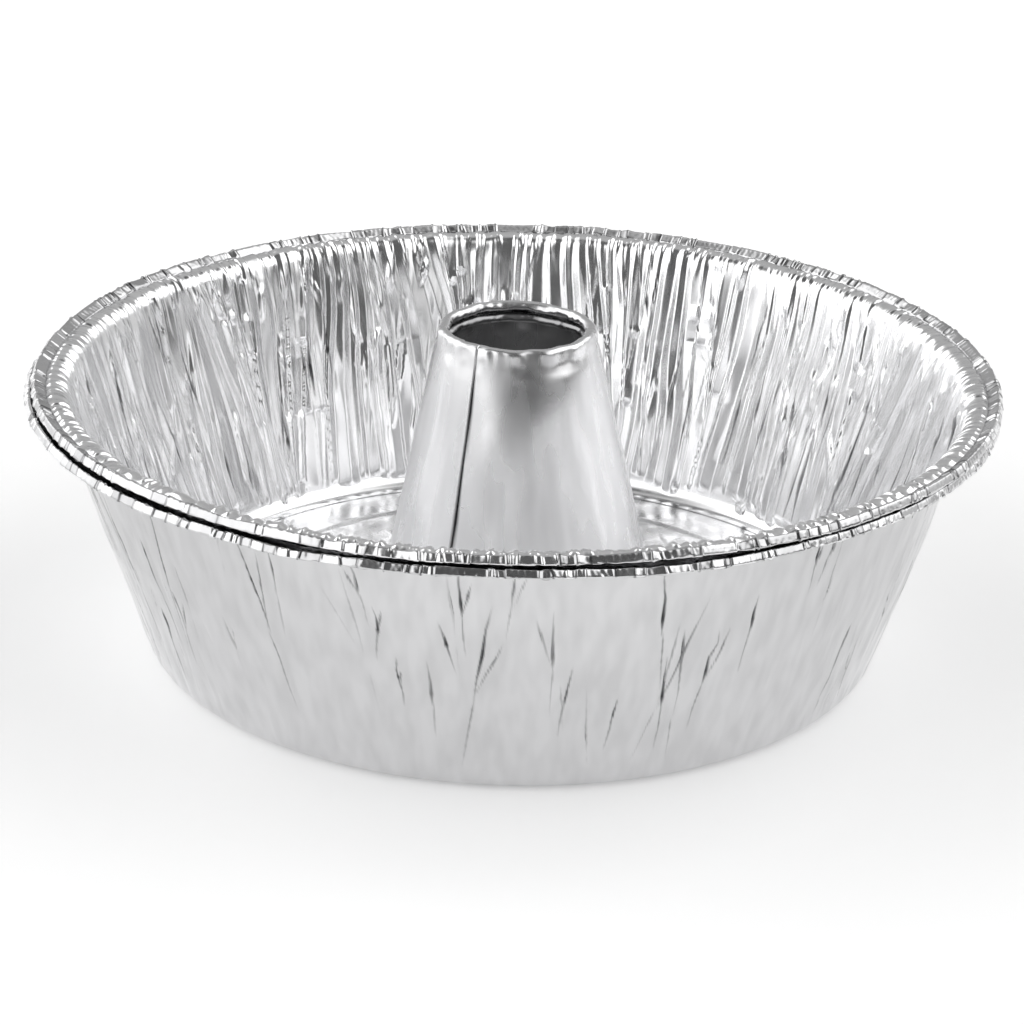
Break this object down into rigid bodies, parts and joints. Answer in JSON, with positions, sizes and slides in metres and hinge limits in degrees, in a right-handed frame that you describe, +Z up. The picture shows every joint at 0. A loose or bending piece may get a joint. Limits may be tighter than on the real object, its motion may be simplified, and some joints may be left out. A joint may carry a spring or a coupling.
{
  "type": "foil tube cake pan",
  "caption": "Disposable aluminium foil tube pans for ring cakes, one nested in the other, with a tapered pleated wall, a hemmed rim and a conical lapped centre tube.",
  "frame": {"origin": "centre of the lower pan's base, on the surface it rests on", "axes": "+Z up along the tubes; the lap seam of each tube faces -Y, turned about 30 degrees towards -X"},
  "size_m": [0.248, 0.248, 0.0846],
  "materials": {
    "shell_foil": "bright rolled foil, pleated by pressing",
    "tube_foil": "satin rolled foil"
  },
  "bodies": {
    "lower_pan": {"lower_pan_shell": "shell_foil", "lower_pan_tube": "tube_foil"},
    "upper_pan": {"upper_pan_shell": "shell_foil", "upper_pan_tube": "tube_foil"}
  },
  "joints": [
    {"name": "upper_pan_lift", "type": "slide", "parent": "lower_pan", "child": "upper_pan", "axis": [0, 0, 1], "range_m": [0, 0.1]}
  ]
}
